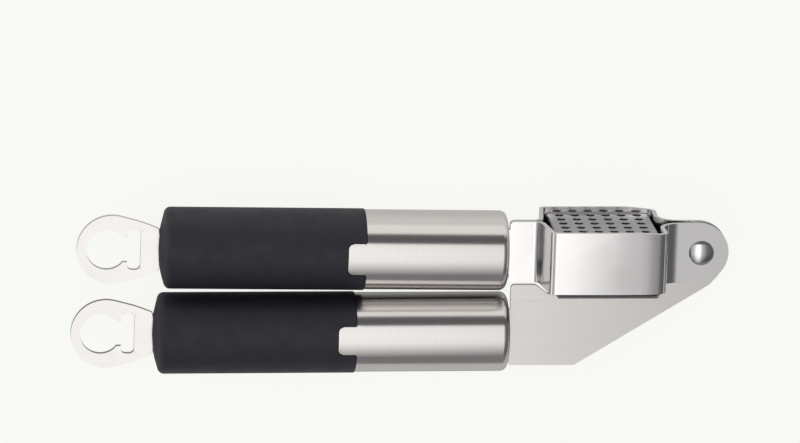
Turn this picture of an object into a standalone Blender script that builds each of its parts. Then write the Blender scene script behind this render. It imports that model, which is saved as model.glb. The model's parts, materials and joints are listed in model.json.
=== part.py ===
"""Garlic press with round handles, a strap hopper, a lift-out sieve and a pivoted plunger.

The press lies on its side, closed. The hinge rivet stands along +Z, the handles run along X
with the hinge at the +X end, and the perforated face looks towards +Y. The outer face of the
back strap is the surface that it rests on, at Z = 0. Lengths are metres.
"""
import math

import bmesh
import bpy

# Hinge and overall layout. Outlines are given from the hinge axis and from the middle plane.
HINGE = (0.0872, 0.0116, 0.0152)
HALF_DEPTH = HINGE[2]
GAP = 0.0003

# Handles: a steel tube with a plastic grip behind it, around a common core.
TUBE_RADIUS = 0.01155
TUBE_WALL = 0.0008
TUBE_EDGE = 0.0020
LIP_RADIUS = 0.0094
GRIP_RADIUS = 0.0118
GRIP_BORE = 0.0106
UPPER_GRIP_LENGTH = 0.0594
LOWER_GRIP_LENGTH = 0.0586
GRIP_END_WALL = 0.0032
GRIP_CROWN = 0.0018
GRIP_EDGE = 0.0012
CORE_RADIUS = 0.0103
CORE_BORE = 0.0075
CORE_SETBACK = 0.0050
CAP_THICKNESS = 0.0016
CAP_CROWN = 0.0007
TONGUE_LENGTH = 0.0054
TONGUE_HALF_WIDTH = 0.0046
UPPER_TUBE_LENGTH = 0.0411
LOWER_TUBE_LENGTH = 0.0443
UPPER_HANDLE_END = (-0.0570, 0.0002)
LOWER_HANDLE_END = (-0.0560, -0.0241)
UPPER_TILT = math.radians(-0.5)
LOWER_TILT = math.radians(0.2)
UPPER_ROLL = 0.0
LOWER_ROLL = math.radians(-3.0)

# Hanging loops.
LOOP_THICKNESS = 0.0016
LOOP_HEAD_RADIUS = 0.0101
LOOP_REACH = 0.0133
LOOP_EYE_RADIUS = 0.0059
LOOP_EYE_OFFSET = -0.0015
LOOP_NECK_HALF = 0.0062
LOOP_TANG_HALF = 0.0040
LOOP_THROAT_HALF = 0.00365
LOOP_CROSS_X = (0.0044, 0.0082)
LOOP_CROSS_HALF = 0.0059
LOOP_CORNER = 0.0014
LOOP_SHOULDER = 0.0011
LOOP_PIN_RADIUS = 0.0015
LOOP_PIN_INSET = 0.0110
UPPER_LOOP_DROP = -0.0006

# Straps that form the hopper, the neck and the hinge ears.
SHEET = 0.0012
STRAP_HALF_HEIGHT = 0.0090
NECK_END_X = -0.0558
TANG_END_X = -0.0690
TANG_HALF_HEIGHT = 0.0066
TANG_CORNER = 0.0010
HOPPER_LEFT_X = (-0.04625, -0.0450)
HOPPER_RIGHT_X = -0.0123
NECK_BEND = 0.0024
HOPPER_BEND = 0.0010
EAR_BEND = 0.0045
EAR_CENTRE_X = -0.0010
EAR_INNER_Z = 0.0010

# Lever, hinge rivet and plunger.
LEVER_THICKNESS = 0.0014
LEVER_LEFT_X = -0.0550
LEVER_LOW_Y = -0.0342
LEVER_TOP_Y = -0.0100
LEVER_STEP = ((-0.0478, -0.0442), -0.0128)
LEVER_EYE_X = (-0.0090, 0.0069)
LEVER_EYE_HIGH_Y = 0.0084
LEVER_TAB_HALF = 0.0027
RIVET_RADIUS = 0.0026
RIVET_HEAD_RADIUS = 0.0036
RIVET_HEAD_HEIGHT = 0.0012
RIVET_HEAD_RIM = 0.0003
PIVOT = (-0.0290, -0.0015)
PIVOT_PIN_RADIUS = 0.0015
PIVOT_HEAD_RADIUS = 0.0023
PIVOT_HEAD_HEIGHT = 0.0008
LUG_OUTER_Z = 0.0022
LUG_END = 0.0028
BRACKET_HALF_LENGTH = 0.0065
HEAD_HALF_LENGTH = 0.0130
HEAD_HALF_WIDTH = 0.0123
HEAD_CENTRE_X = -0.0285
HEAD_LOW_Y = 0.0042
HEAD_HIGH_Y = 0.0062

# Sieve: a frame of four walls with a perforated plate across its top.
SIEVE_CENTRE_X = -0.0286
SIEVE_HALF_LENGTH = 0.0151
SIEVE_HALF_WIDTH = 0.0137
SIEVE_WALL = 0.0008
SIEVE_CORNER = 0.0018
SIEVE_PLATE_Y = (0.0067, 0.0076)
MOUTH_Y = -0.0100
MOUTH_NOTCH_Y = -0.0091
MOUTH_NOTCH_HALF = 0.0115
FLANGE_HALF_LENGTH = 0.0143
FLANGE_HALF_WIDTH = 0.0149
HOLE_PITCH = 0.00455
HOLE_RADIUS = 0.0013
HOLES_EACH_WAY = 6

ARC_STEP = math.radians(18)
TURN_STEPS = 40


def clear_scene():
    for item in list(bpy.data.objects):
        bpy.data.objects.remove(item, do_unlink=True)


def steel(name, colour, roughness):
    """Metal with the given base colour and roughness."""
    finish = bpy.data.materials.new(name)
    finish.use_nodes = True
    shader = finish.node_tree.nodes["Principled BSDF"]
    shader.inputs["Base Color"].default_value = (*colour, 1.0)
    shader.inputs["Metallic"].default_value = 1.0
    shader.inputs["Roughness"].default_value = roughness
    return finish


def plastic(name, colour, roughness):
    """Moulded plastic with the given base colour and roughness."""
    finish = steel(name, colour, roughness)
    finish.node_tree.nodes["Principled BSDF"].inputs["Metallic"].default_value = 0.0
    return finish


def axis_empty(name, parent, location, turn=0.0):
    """An empty on a joint or handle axis, which carries the pieces around it."""
    empty = bpy.data.objects.new(name, None)
    bpy.context.collection.objects.link(empty)
    empty.parent = parent
    empty.location = location
    empty.rotation_euler = (0.0, 0.0, turn)
    return empty


def arc(centre, radius, start, end):
    """Points on an arc from one angle to another, both ends included."""
    steps = max(2, math.ceil(abs(end - start) / ARC_STEP))
    points = []
    for step in range(steps + 1):
        angle = start + (end - start) * step / steps
        points.append((centre[0] + radius * math.cos(angle), centre[1] + radius * math.sin(angle)))
    return points


def rounded(corners, closed=True):
    """An outline through corners (x, y, radius), each corner rounded by its own radius."""
    points = []
    count = len(corners)
    for index, (x, y, radius) in enumerate(corners):
        if radius == 0.0 or (not closed and index in (0, count - 1)):
            points.append((x, y))
            continue
        before = corners[index - 1]
        after = corners[(index + 1) % count]
        angle_in = math.atan2(y - before[1], x - before[0])
        angle_out = math.atan2(after[1] - y, after[0] - x)
        turn = (angle_out - angle_in + math.pi) % (2.0 * math.pi) - math.pi
        side = math.copysign(1.0, turn)
        reach = radius * math.tan(abs(turn) / 2.0)
        start = angle_in - side * math.pi / 2.0
        centre_x = x - reach * math.cos(angle_in) - radius * math.cos(start)
        centre_y = y - reach * math.sin(angle_in) - radius * math.sin(start)
        points.extend(arc((centre_x, centre_y), radius, start, start + turn))
    return points


def thick_path(path, thickness):
    """The closed outline of a sheet whose middle line is the path."""
    left = []
    right = []
    for index, (x, y) in enumerate(path):
        before = path[max(index - 1, 0)]
        after = path[min(index + 1, len(path) - 1)]
        first = math.atan2(y - before[1], x - before[0]) if index else None
        last = math.atan2(after[1] - y, after[0] - x) if index < len(path) - 1 else first
        first = last if first is None else first
        half_turn = ((last - first + math.pi) % (2.0 * math.pi) - math.pi) / 2.0
        normal = first + half_turn + math.pi / 2.0
        reach = thickness / 2.0 / math.cos(half_turn)
        left.append((x + reach * math.cos(normal), y + reach * math.sin(normal)))
        right.append((x - reach * math.cos(normal), y - reach * math.sin(normal)))
    return left + right[::-1]


def prism(outline, low, high, plane="XY"):
    """A solid with the outline in the XY or XZ plane, from low to high along the third axis."""
    shape = bmesh.new()
    if plane == "XY":
        corners = [shape.verts.new((x, y, low)) for x, y in outline]
        travel = (0.0, 0.0, high - low)
    else:
        corners = [shape.verts.new((x, low, z)) for x, z in outline]
        travel = (0.0, high - low, 0.0)
    base = shape.faces.new(corners)
    result = bmesh.ops.extrude_face_region(shape, geom=[base], use_keep_orig=True)
    moved = [item for item in result["geom"] if isinstance(item, bmesh.types.BMVert)]
    bmesh.ops.translate(shape, verts=moved, vec=travel)
    bmesh.ops.recalc_face_normals(shape, faces=shape.faces)
    return shape


def box(low, high):
    """A block between two opposite corners."""
    outline = [(low[0], low[1]), (high[0], low[1]), (high[0], high[1]), (low[0], high[1])]
    return prism(outline, low[2], high[2])


def turned(profile, steps=TURN_STEPS, axis=(1.0, 0.0, 0.0)):
    """A solid turned from a profile of (place along the axis, radius) about X or Z."""
    shape = bmesh.new()
    corners = []
    for along, radius in profile:
        place = (along, radius, 0.0) if axis[0] else (radius, 0.0, along)
        corners.append(shape.verts.new(place))
    on_axis = profile[0][1] == 0.0 and profile[-1][1] == 0.0
    for first, second in zip(corners, corners[1:] if on_axis else corners[1:] + corners[:1]):
        shape.edges.new((first, second))
    bmesh.ops.spin(shape, geom=shape.verts[:] + shape.edges[:], cent=(0.0, 0.0, 0.0), axis=axis,
                   angle=2.0 * math.pi, steps=steps, use_merge=True)
    bmesh.ops.remove_doubles(shape, verts=shape.verts, dist=1e-6)
    bmesh.ops.recalc_face_normals(shape, faces=shape.faces)
    return shape


def moved(shape, offset):
    bmesh.ops.translate(shape, verts=shape.verts, vec=offset)
    return shape


def piece(name, shape, finish, parent, drop=0.0, roll=0.0):
    """A named sub-part, placed on its axis empty."""
    mesh = bpy.data.meshes.new(name)
    shape.to_mesh(mesh)
    shape.free()
    mesh.shade_smooth()
    mesh.set_sharp_from_angle(angle=math.radians(35))
    mesh.materials.append(finish)
    item = bpy.data.objects.new(name, mesh)
    bpy.context.collection.objects.link(item)
    item.parent = parent
    item.location = (0.0, drop, 0.0)
    item.rotation_euler = (roll, 0.0, 0.0)
    return item


def combine(item, shape, operation="DIFFERENCE"):
    """Cut, join or intersect a sub-part with a guide shape in the sub-part's own axes."""
    mesh = bpy.data.meshes.new(item.name + "_guide")
    shape.to_mesh(mesh)
    shape.free()
    guide = bpy.data.objects.new(item.name + "_guide", mesh)
    bpy.context.collection.objects.link(guide)
    guide.parent = item
    guide.hide_render = True
    guide.display_type = "WIRE"
    modifier = item.modifiers.new(operation.title(), "BOOLEAN")
    modifier.operation = operation
    modifier.object = guide


def drilled(item, place, radius, half_depth, steps=20):
    """A hole through a sub-part, along Z."""
    rod = turned([(-half_depth, 0.0), (-half_depth, radius), (half_depth, radius), (half_depth, 0.0)],
                 steps, axis=(0.0, 0.0, 1.0))
    combine(item, moved(rod, (place[0], place[1], 0.0)))


def rivet(head_radius, shank_radius, head_start, head_height):
    """A shank along Z with a domed head at each end."""
    dome = head_height - RIVET_HEAD_RIM
    bulge = (head_radius ** 2 + dome ** 2) / (2.0 * dome)
    half_angle = math.asin(head_radius / bulge)
    crown = head_start + head_height
    upper = [(crown - bulge * (1.0 - math.cos(half_angle * share)), bulge * math.sin(half_angle * share))
             for share in (0.25, 0.5, 0.75, 1.0)]
    half = [(crown, 0.0), *upper, (head_start, head_radius), (head_start, shank_radius)]
    lower = [(-along, radius) for along, radius in reversed(half)]
    return turned(half + lower, 32, axis=(0.0, 0.0, 1.0))


def tongue_outline(seam, grow, far):
    """The edge where tube and grip meet: a straight seam with a round-cornered tongue."""
    half = TONGUE_HALF_WIDTH + grow
    tip = seam - TONGUE_LENGTH
    root = 0.0007
    beyond = 1.3 * GRIP_RADIUS
    return rounded([(far, -beyond, 0.0), (far, beyond, 0.0), (seam, beyond, 0.0), (seam, half, root),
                    (tip, half, 2.0 * root), (tip, -half, 2.0 * root),
                    (seam, -half, root), (seam, -beyond, 0.0)])


def handle_tube(name, length, finish, axis, roll):
    """Steel tube: its hinge end is rolled in to a lip, and two tongues reach into the grip."""
    inner = TUBE_RADIUS - TUBE_WALL
    far = -length - TONGUE_LENGTH - GAP
    bend = arc((-TUBE_EDGE, TUBE_RADIUS - TUBE_EDGE), TUBE_EDGE, math.pi / 2.0, 0.0)
    profile = [(far, TUBE_RADIUS), *bend[:-1], (0.0, TUBE_RADIUS - TUBE_EDGE), (0.0, LIP_RADIUS),
               (-TUBE_WALL, LIP_RADIUS), (-TUBE_WALL, inner - TUBE_WALL / 2.0), (-TUBE_EDGE, inner),
               (far, inner)]
    item = piece(name, turned(profile), finish, axis, roll=roll)
    outline = tongue_outline(-length, 0.0, TUBE_EDGE)
    combine(item, prism(outline, -2.0 * TUBE_RADIUS, 2.0 * TUBE_RADIUS), "INTERSECT")


def handle_grip(name, length, grip_length, finish, axis, roll):
    """Plastic sleeve with a crowned end, slotted for the loop and notched for the tongues."""
    right = -length - GAP
    left = -length - grip_length
    wall = left + GRIP_END_WALL
    shoulder = GRIP_RADIUS - GRIP_EDGE
    crown = [(left + GRIP_CROWN * share ** 2, shoulder * share) for share in (0.0, 0.35, 0.7)]
    edge = arc((left + GRIP_CROWN + GRIP_EDGE, shoulder), GRIP_EDGE, math.pi, math.pi / 2.0)
    profile = [*crown, *edge, (right, GRIP_RADIUS), (right, GRIP_BORE), (wall, GRIP_BORE), (wall, 0.0)]
    item = piece(name, turned(profile), finish, axis, roll=roll)
    outline = tongue_outline(-length - GAP, GAP, -length + GAP)
    combine(item, prism(outline, -2.0 * GRIP_RADIUS, 2.0 * GRIP_RADIUS))
    slot_half = LOOP_TANG_HALF + 0.0010
    slot_depth = LOOP_THICKNESS / 2.0 + GAP
    combine(item, box((left - GRIP_EDGE, -slot_half, -slot_depth),
                      (wall + GRIP_EDGE, slot_half, slot_depth)))


def handle_core(name, left, pin_x, finish, axis, roll):
    """Tube inside the handle that joins the steel tube to the grip."""
    profile = [(left, CORE_RADIUS), (-CORE_SETBACK, CORE_RADIUS), (-CORE_SETBACK, CORE_BORE),
               (left, CORE_BORE)]
    item = piece(name, turned(profile, 32), finish, axis, roll=roll)
    drilled(item, (pin_x, 0.0), LOOP_PIN_RADIUS + GAP, 2.0 * CORE_RADIUS, 12)


def handle_cap(name, slot_half_depth, finish, axis):
    """Domed disc that closes the hinge end, slotted for the sheet metal that it holds."""
    radius = LIP_RADIUS - GAP
    crown = [(CAP_CROWN * (1.0 - 0.85 * share ** 2), radius * share) for share in (0.0, 0.3, 0.6, 0.85, 1.0)]
    profile = [*crown, (-CAP_THICKNESS, radius), (-CAP_THICKNESS, 0.0)]
    item = piece(name, turned(profile, 32), finish, axis)
    slot_half_height = TANG_HALF_HEIGHT + 0.0005
    combine(item, box((-2.0 * CAP_THICKNESS, -slot_half_height, -slot_half_depth),
                      (2.0 * CAP_THICKNESS, slot_half_height, slot_half_depth)))


def hanging_loop(name, grip_end, pin_x, finish, axis, drop):
    """Stamped loop with a keyhole eye and a tang that goes into the grip."""
    centre = grip_end - LOOP_REACH
    neck = (LOOP_REACH, LOOP_NECK_HALF)
    away = math.hypot(*neck)
    tangent = math.atan2(neck[1], neck[0]) + math.acos(LOOP_HEAD_RADIUS / away)
    head = arc((0.0, 0.0), LOOP_HEAD_RADIUS, tangent, 2.0 * math.pi - tangent)
    tang_end = pin_x - centre + LOOP_TANG_HALF
    shoulder = rounded([(*head[-1], 0.0), (neck[0], -neck[1], LOOP_SHOULDER),
                        (neck[0], -LOOP_TANG_HALF, 0.0), (tang_end, -LOOP_TANG_HALF, 0.0),
                        (tang_end, LOOP_TANG_HALF, 0.0), (neck[0], LOOP_TANG_HALF, 0.0),
                        (*neck, LOOP_SHOULDER), (*head[0], 0.0)])
    outline = [*head[1:-1], *shoulder]
    half = LOOP_THICKNESS / 2.0
    plate = moved(prism(outline, -half, half), (centre, 0.0, 0.0))
    item = piece(name, plate, finish, axis, drop=drop)
    mouth = math.asin(LOOP_THROAT_HALF / LOOP_EYE_RADIUS)
    eye = arc((LOOP_EYE_OFFSET, 0.0), LOOP_EYE_RADIUS, mouth, 2.0 * math.pi - mouth)
    near, far = LOOP_CROSS_X
    cross = rounded([(*eye[-1], 0.0), (near, -LOOP_THROAT_HALF, 0.0),
                     (near, -LOOP_CROSS_HALF, LOOP_CORNER), (far, -LOOP_CROSS_HALF, LOOP_CORNER),
                     (far, LOOP_CROSS_HALF, LOOP_CORNER), (near, LOOP_CROSS_HALF, LOOP_CORNER),
                     (near, LOOP_THROAT_HALF, 0.0), (*eye[0], 0.0)])
    combine(item, moved(prism([*eye[1:-1], *cross], -4.0 * half, 4.0 * half), (centre, 0.0, 0.0)))
    drilled(item, (pin_x, -drop), LOOP_PIN_RADIUS + GAP, 4.0 * half, 12)


def loop_pin(name, pin_x, finish, axis, roll):
    """Cross pin that holds the loop's tang in the core."""
    half = CORE_RADIUS - GAP
    rod = turned([(-half, 0.0), (-half, LOOP_PIN_RADIUS), (half, LOOP_PIN_RADIUS), (half, 0.0)],
                 12, axis=(0.0, 0.0, 1.0))
    piece(name, moved(rod, (pin_x, 0.0, 0.0)), finish, axis, roll=roll)


def handle(side, length, grip_length, axis, slot_half_depth, drop, roll, finishes):
    """All the pieces of one handle, on the empty that marks its axis."""
    grip_end = -length - grip_length
    pin_x = grip_end + LOOP_PIN_INSET
    core_left = grip_end + GRIP_END_WALL + GAP
    handle_tube(side + "_handle_tube", length, finishes["tube"], axis, roll)
    handle_grip(side + "_grip", length, grip_length, finishes["grip"], axis, roll)
    handle_core(side + "_handle_core", core_left, pin_x, finishes["core"], axis, roll)
    handle_cap(side + "_handle_cap", slot_half_depth, finishes["polished"], axis)
    hanging_loop(side + "_hanging_loop", grip_end, pin_x, finishes["loop"], axis, drop)
    loop_pin(side + "_loop_pin", pin_x, finishes["pin"], axis, roll)


def strap(name, side, finish, axis):
    """Bent sheet: tang and neck, one half of the hopper's walls, and a round hinge ear."""
    neck = (SHEET + GAP) / 2.0
    wall = HALF_DEPTH - SHEET / 2.0
    ear = EAR_INNER_Z + SHEET / 2.0
    top = STRAP_HALF_HEIGHT
    path = rounded([(TANG_END_X, neck, 0.0), (HOPPER_LEFT_X[0], neck, NECK_BEND),
                    (HOPPER_LEFT_X[1], wall, HOPPER_BEND), (HOPPER_RIGHT_X, wall, HOPPER_BEND),
                    (HOPPER_RIGHT_X, ear, EAR_BEND), (top, ear, 0.0)], closed=False)
    outline = [(x, side * z) for x, z in thick_path(path, SHEET)]
    item = piece(name, prism(outline, -top, top, "XZ"), finish, axis)
    ear_arc = arc((EAR_CENTRE_X, 0.0), top, -math.pi / 2.0, math.pi / 2.0)
    tang_end = TANG_END_X + GAP
    left = rounded([(ear_arc[-1][0], top, 0.0), (NECK_END_X, top, TANG_CORNER),
                    (NECK_END_X, TANG_HALF_HEIGHT, 0.0), (tang_end, TANG_HALF_HEIGHT, TANG_CORNER),
                    (tang_end, -TANG_HALF_HEIGHT, TANG_CORNER), (NECK_END_X, -TANG_HALF_HEIGHT, 0.0),
                    (NECK_END_X, -top, TANG_CORNER), (ear_arc[0][0], -top, 0.0)])
    combine(item, prism([*ear_arc[1:-1], *left], -2.0 * HALF_DEPTH, 2.0 * HALF_DEPTH), "INTERSECT")
    drilled(item, (0.0, 0.0), RIVET_RADIUS + GAP, 2.0 * HALF_DEPTH, 24)


def lever(name, finish, axis):
    """Flat plate from the lower handle to the hinge, with a tab that carries the plunger."""
    tang_high = LOWER_HANDLE_END[1] + TANG_HALF_HEIGHT
    tang_low = LOWER_HANDLE_END[1] - TANG_HALF_HEIGHT
    eye_left, eye_right = LEVER_EYE_X
    tab_left = PIVOT[0] - LEVER_TAB_HALF
    tab_right = PIVOT[0] + LEVER_TAB_HALF
    tab_high = PIVOT[1] + LEVER_TAB_HALF
    (step_left, step_right), step_y = LEVER_STEP
    outline = rounded([
        (LEVER_LEFT_X, LEVER_TOP_Y, 0.0012), (LEVER_LEFT_X, tang_high, 0.0),
        (TANG_END_X, tang_high, TANG_CORNER), (TANG_END_X, tang_low, TANG_CORNER),
        (LEVER_LEFT_X, tang_low, 0.0), (LEVER_LEFT_X, LEVER_LOW_Y, 0.0006),
        (-0.0358, LEVER_LOW_Y, 0.0015), (0.0030, -0.0100, 0.0040), (0.0058, -0.0068, 0.0040),
        (eye_right, -0.0030, 0.0030),
        (eye_right, LEVER_EYE_HIGH_Y, 0.0074), (eye_left, LEVER_EYE_HIGH_Y, 0.0080),
        (eye_left, LEVER_TOP_Y, 0.0015), (tab_right, LEVER_TOP_Y, 0.0010), (tab_right, tab_high, 0.0026),
        (tab_left, tab_high, 0.0026), (tab_left, step_y, 0.0010), (step_right, step_y, 0.0020),
        (step_left, LEVER_TOP_Y, 0.0020)])
    item = piece(name, prism(outline, -LEVER_THICKNESS / 2.0, LEVER_THICKNESS / 2.0), finish, axis)
    drilled(item, (0.0, 0.0), RIVET_RADIUS + GAP, 2.0 * LEVER_THICKNESS, 24)
    drilled(item, PIVOT, PIVOT_PIN_RADIUS + GAP, 2.0 * LEVER_THICKNESS, 16)


def rectangle(half_length, half_width, radius):
    """A rounded rectangle in X and Z, centred on the sieve."""
    return rounded([(SIEVE_CENTRE_X + half_length, -half_width, radius),
                    (SIEVE_CENTRE_X + half_length, half_width, radius),
                    (SIEVE_CENTRE_X - half_length, half_width, radius),
                    (SIEVE_CENTRE_X - half_length, -half_width, radius)])


def sieve_frame(name, finish, axis):
    """Four walls with a flange at the mouth that catches under the straps."""
    top = SIEVE_PLATE_Y[0] - GAP
    walls = prism(rectangle(SIEVE_HALF_LENGTH, SIEVE_HALF_WIDTH, SIEVE_CORNER), MOUTH_Y, top, "XZ")
    item = piece(name, walls, finish, axis)
    inner_corner = SIEVE_CORNER - SIEVE_WALL
    flange = rectangle(FLANGE_HALF_LENGTH, FLANGE_HALF_WIDTH, inner_corner)
    combine(item, prism(flange, MOUTH_Y, -STRAP_HALF_HEIGHT - GAP, "XZ"), "UNION")
    bore = rectangle(SIEVE_HALF_LENGTH - SIEVE_WALL, SIEVE_HALF_WIDTH - SIEVE_WALL, inner_corner)
    combine(item, prism(bore, 2.0 * MOUTH_Y, 2.0 * top, "XZ"))
    combine(item, box((SIEVE_CENTRE_X - 2.0 * SIEVE_HALF_LENGTH, 2.0 * MOUTH_Y, -MOUTH_NOTCH_HALF),
                      (SIEVE_CENTRE_X + 2.0 * SIEVE_HALF_LENGTH, MOUTH_NOTCH_Y, MOUTH_NOTCH_HALF)))


def sieve_plate(name, finish, axis):
    """Perforated plate that the garlic is pressed through."""
    low, high = SIEVE_PLATE_Y
    plate = prism(rectangle(SIEVE_HALF_LENGTH, SIEVE_HALF_WIDTH, SIEVE_CORNER), low, high, "XZ")
    item = piece(name, plate, finish, axis)
    holes = bmesh.new()
    first = -HOLE_PITCH * (HOLES_EACH_WAY - 1) / 2.0
    for column in range(HOLES_EACH_WAY):
        for row in range(HOLES_EACH_WAY):
            centre = (SIEVE_CENTRE_X + first + column * HOLE_PITCH, first + row * HOLE_PITCH)
            ring = arc(centre, HOLE_RADIUS, 0.0, 2.0 * math.pi * 11.0 / 12.0)[::2]
            corners = [holes.verts.new((x, low - 0.001, z)) for x, z in ring]
            holes.faces.new(corners)
    result = bmesh.ops.extrude_face_region(holes, geom=holes.faces[:], use_keep_orig=True)
    raised = [vert for vert in result["geom"] if isinstance(vert, bmesh.types.BMVert)]
    bmesh.ops.translate(holes, verts=raised, vec=(0.0, high - low + 0.002, 0.0))
    bmesh.ops.recalc_face_normals(holes, faces=holes.faces)
    combine(item, holes)


def plunger(finish, pin_finish, axis):
    """Pressing head, its forked bracket and the pin it swings on, placed from the pivot."""
    shift = (-PIVOT[0], -PIVOT[1], 0.0)
    left = HEAD_CENTRE_X - HEAD_HALF_LENGTH
    right = HEAD_CENTRE_X + HEAD_HALF_LENGTH
    outline = rounded([(right, -HEAD_HALF_WIDTH, 0.0016), (right, HEAD_HALF_WIDTH, 0.0016),
                       (left, HEAD_HALF_WIDTH, 0.0016), (left, -HEAD_HALF_WIDTH, 0.0016)])
    piece("plunger_head", moved(prism(outline, HEAD_LOW_Y, HEAD_HIGH_Y, "XZ"), shift), finish, axis)

    base_high = HEAD_LOW_Y - GAP
    base_low = base_high - SHEET
    base_left = HEAD_CENTRE_X - BRACKET_HALF_LENGTH
    base_right = HEAD_CENTRE_X + BRACKET_HALF_LENGTH
    lug_low = PIVOT[1] - LUG_END
    sides = rounded([(base_right, base_high, 0.0), (base_left, base_high, 0.0), (base_left, base_low, 0.0),
                     (PIVOT[0] - LUG_END, lug_low, 0.0024), (PIVOT[0] + LUG_END, lug_low, 0.0024),
                     (base_right, base_low, 0.0)])
    bracket = piece("plunger_bracket", moved(prism(sides, -LUG_OUTER_Z, LUG_OUTER_Z), shift), finish, axis)
    inner = LUG_OUTER_Z - SHEET
    reach = 2.0 * BRACKET_HALF_LENGTH
    combine(bracket, box((-reach, -reach, -inner), (reach, base_low - PIVOT[1], inner)))
    drilled(bracket, (0.0, 0.0), PIVOT_PIN_RADIUS + GAP, 2.0 * LUG_OUTER_Z, 16)

    pin = rivet(PIVOT_HEAD_RADIUS, PIVOT_PIN_RADIUS, LUG_OUTER_Z + GAP, PIVOT_HEAD_HEIGHT)
    piece("plunger_pin", pin, pin_finish, axis)


def build():
    clear_scene()
    finishes = {
        "tube": steel("brushed_tube", (0.62, 0.60, 0.58), 0.30),
        "grip": plastic("black_grip", (0.035, 0.034, 0.038), 0.62),
        "core": plastic("handle_core", (0.10, 0.10, 0.10), 0.55),
        "loop": steel("loop_steel", (0.80, 0.80, 0.79), 0.16),
        "polished": steel("polished_strap", (0.72, 0.71, 0.70), 0.10),
        "lever": steel("satin_lever", (0.70, 0.69, 0.68), 0.34),
        "sieve": steel("sieve_steel", (0.58, 0.57, 0.57), 0.26),
        "pin": steel("pin_steel", (0.66, 0.66, 0.67), 0.14),
    }
    press = axis_empty("press_axis", None, HINGE)
    lever_axis = axis_empty("lever_axis", None, HINGE)
    upper = axis_empty("upper_handle_axis", press, (*UPPER_HANDLE_END, 0.0), UPPER_TILT)
    lower = axis_empty("lower_handle_axis", lever_axis, (*LOWER_HANDLE_END, 0.0), LOWER_TILT)
    plunger_axis = axis_empty("plunger_axis", lever_axis, (*PIVOT, 0.0))

    neck_slot = SHEET + GAP * 1.5
    handle("upper", UPPER_TUBE_LENGTH, UPPER_GRIP_LENGTH, upper, neck_slot, UPPER_LOOP_DROP, UPPER_ROLL,
           finishes)
    handle("lower", LOWER_TUBE_LENGTH, LOWER_GRIP_LENGTH, lower, LEVER_THICKNESS / 2.0 + GAP, 0.0,
           LOWER_ROLL, finishes)
    strap("front_strap", 1.0, finishes["polished"], press)
    strap("back_strap", -1.0, finishes["polished"], press)
    hinge = rivet(RIVET_HEAD_RADIUS, RIVET_RADIUS, EAR_INNER_Z + SHEET + GAP, RIVET_HEAD_HEIGHT)
    piece("hinge_rivet", hinge, finishes["pin"], press)
    sieve_frame("sieve_frame", finishes["sieve"], press)
    sieve_plate("sieve_plate", finishes["sieve"], press)
    lever("lever_plate", finishes["lever"], lever_axis)
    plunger(finishes["sieve"], finishes["pin"], plunger_axis)


build()
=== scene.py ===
"""The looks of a garlic press: gripped handles, polished strap hopper, drawn sieve cup and lever plate.

The press lies on its side on a pale table, closed. Every piece sits where the fixed frame has it.
Lengths are metres.
"""
import json
import math

import bmesh
import bpy
from mathutils import Matrix, Vector


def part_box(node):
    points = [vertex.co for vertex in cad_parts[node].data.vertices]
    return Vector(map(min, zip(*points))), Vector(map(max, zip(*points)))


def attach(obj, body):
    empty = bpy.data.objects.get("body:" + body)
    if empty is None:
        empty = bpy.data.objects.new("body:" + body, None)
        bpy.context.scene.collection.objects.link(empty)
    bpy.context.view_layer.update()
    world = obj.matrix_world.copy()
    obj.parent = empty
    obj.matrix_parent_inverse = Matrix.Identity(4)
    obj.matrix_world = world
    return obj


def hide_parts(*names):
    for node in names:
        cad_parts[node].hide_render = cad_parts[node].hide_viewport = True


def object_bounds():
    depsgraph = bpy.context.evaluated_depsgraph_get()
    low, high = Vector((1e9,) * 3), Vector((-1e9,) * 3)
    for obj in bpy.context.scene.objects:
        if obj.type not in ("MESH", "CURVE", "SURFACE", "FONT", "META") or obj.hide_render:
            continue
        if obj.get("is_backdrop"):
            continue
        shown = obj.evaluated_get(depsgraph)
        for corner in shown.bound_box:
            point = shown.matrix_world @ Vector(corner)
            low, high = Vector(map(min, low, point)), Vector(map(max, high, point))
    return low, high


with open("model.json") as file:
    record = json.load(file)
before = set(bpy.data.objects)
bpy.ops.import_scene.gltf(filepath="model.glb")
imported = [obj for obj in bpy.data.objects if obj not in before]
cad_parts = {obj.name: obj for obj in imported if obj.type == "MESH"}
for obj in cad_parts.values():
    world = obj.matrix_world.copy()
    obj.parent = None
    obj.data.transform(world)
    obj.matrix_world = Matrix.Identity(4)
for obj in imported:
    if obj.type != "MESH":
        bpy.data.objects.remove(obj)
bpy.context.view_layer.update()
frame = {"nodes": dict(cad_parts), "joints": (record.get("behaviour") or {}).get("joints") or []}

joints = {joint["name"]: Vector(joint["pos_m"]) for joint in frame["joints"]}
hinge = joints["main_hinge"]
pivot = joints["plunger_pivot"] - hinge


# ---- Front and back strap -------------------------------------------------------------------
# Two strips of 1.2 mm stainless steel, mirror images of each other. Each is blanked, tumbled so
# that its edges round over, polished, and bent into a tang, a neck, the hopper's walls and an ear.

STRAP_THICKNESS = 0.0012
STRAP_HALF_WIDTH = 0.0090
STRAP_EDGE = 0.0004
TANG_HALF_WIDTH = 0.0066
TANG_CORNER = 0.001
TANG_Z = 0.00075
NECK_END_X = -0.0558
NECK_CORNER = 0.0012
HOPPER_SPAN = (-0.0460, -0.0145)
HOPPER_RISE = {"front_strap": 0.00025, "back_strap": 0.0003}
RIM_RADIUS = 0.012
EAR_Z = 0.0016
EAR_END_X = 0.0090
EAR_CENTRE_X = -0.0010
EAR_TOP_RADIUS = 0.0087
RIVET_HOLE_RADIUS = 0.0029
ARC_STEP = math.radians(7.5)
FULL_TURN = 2.0 * math.pi


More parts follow.
